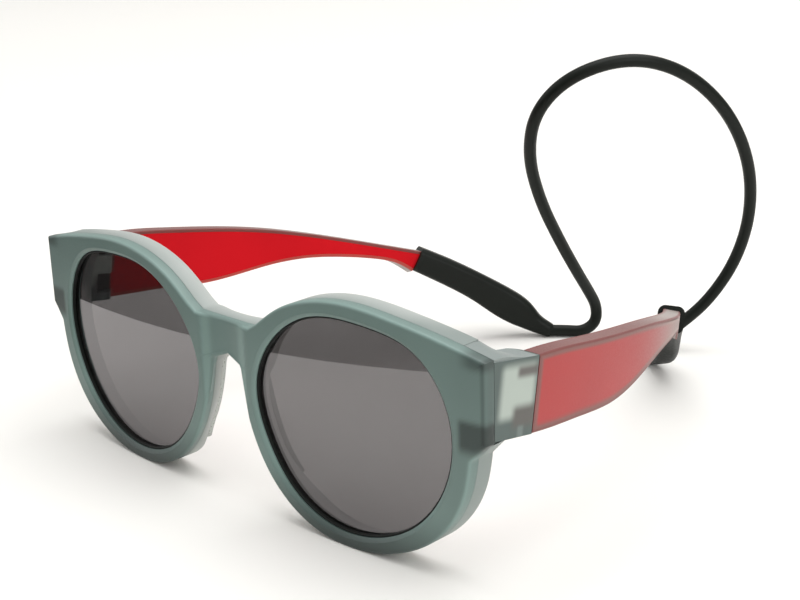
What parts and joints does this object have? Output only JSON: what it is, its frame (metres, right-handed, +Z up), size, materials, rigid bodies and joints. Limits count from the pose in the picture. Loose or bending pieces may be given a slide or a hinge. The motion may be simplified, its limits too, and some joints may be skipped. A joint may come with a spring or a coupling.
{
  "type": "fitover sunglasses",
  "caption": "Fitover sunglasses with a round two-layer frosted front, grey lenses, red folding temples and a black silicone retaining strap between sleeved tips.",
  "frame": {"origin": "on the table under the middle of the unfolded glasses, strap not counted", "axes": "+X to the wearer's left, +Y from the lenses back to the temple tips, +Z up"},
  "size_m": [0.148, 0.1684, 0.0925],
  "materials": {
    "frosted_green": "frosted, slightly translucent grey-green",
    "frosted_pale": "frosted, milky pale grey",
    "lens_grey": "smooth grey with a faint mirror",
    "seal_black": "matte black",
    "clear_plastic": "clear, softly polished",
    "housing_translucent": "translucent grey-green",
    "screw_steel": "plain steel",
    "temple_frost": "frosted translucent layer over red",
    "temple_red": "satin red",
    "silicone_black": "satin moulded silicone"
  },
  "bodies": {
    "frame": {"front_face_layer": "frosted_green", "front_rear_layer": "frosted_pale", "lens_left": "lens_grey", "lens_right": "lens_grey", "lens_seal_left": "seal_black", "lens_seal_right": "seal_black", "nose_flange_left": "clear_plastic", "nose_flange_right": "clear_plastic", "hinge_housing_left": "housing_translucent", "hinge_housing_right": "housing_translucent", "hinge_screw_left": "screw_steel", "hinge_screw_right": "screw_steel"},
    "temple_left": {"temple_skin_left": "temple_frost", "temple_core_left": "temple_red", "strap_sleeve_left": "silicone_black", "strap_cord_left": "silicone_black"},
    "temple_right": {"temple_skin_right": "temple_frost", "temple_core_right": "temple_red", "strap_sleeve_right": "silicone_black", "strap_cord_right": "silicone_black"}
  },
  "joints": [
    {"name": "temple_left_fold", "type": "hinge", "parent": "frame", "child": "temple_left", "pos_m": [0.0704, -0.05564, 0.0397], "axis": [0, 0.1465, 0.9892], "range_deg": [0, 39], "deforming": ["strap_cord_left"]},
    {"name": "temple_right_fold", "type": "hinge", "parent": "frame", "child": "temple_right", "pos_m": [-0.0704, -0.05564, 0.0397], "axis": [0, -0.1465, -0.9892], "range_deg": [0, 67], "deforming": ["strap_cord_right"]}
  ]
}
